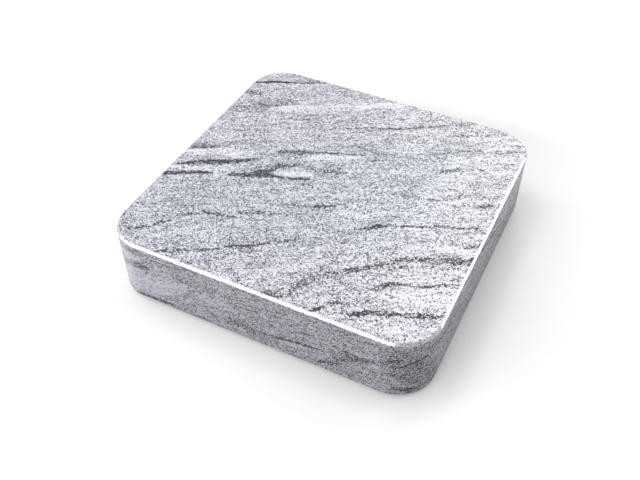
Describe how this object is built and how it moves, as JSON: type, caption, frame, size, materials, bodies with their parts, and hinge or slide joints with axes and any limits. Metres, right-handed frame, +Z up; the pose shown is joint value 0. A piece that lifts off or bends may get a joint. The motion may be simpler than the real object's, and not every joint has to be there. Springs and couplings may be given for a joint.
{
  "type": "granite slab",
  "caption": "Thick square granite slab with rounded corners and a chamfered, polished top on low rubber feet: a hard, level base for stamping, carving and punching leather.",
  "frame": {"origin": "on the bench, under the middle of the slab: the centre of the bounding box's bottom face, level with the feet's undersides", "axes": "+X to the right along the front edge, +Y from the front edge to the back edge, +Z up out of the polished top"},
  "size_m": [0.3048, 0.3048, 0.0681],
  "materials": {
    "granite": "pale grey gneissic granite with dark streaks, polished top, honed sides, sawn underside",
    "rubber": "matte black moulded rubber",
    "adhesive": "off-white double-sided foam adhesive"
  },
  "bodies": {
    "root": {"granite_slab": "granite", "foot_front_left": "rubber", "foot_front_right": "rubber", "foot_back_left": "rubber", "foot_back_right": "rubber", "adhesive_front_left": "adhesive", "adhesive_front_right": "adhesive", "adhesive_back_left": "adhesive", "adhesive_back_right": "adhesive"}
  },
  "joints": []
}
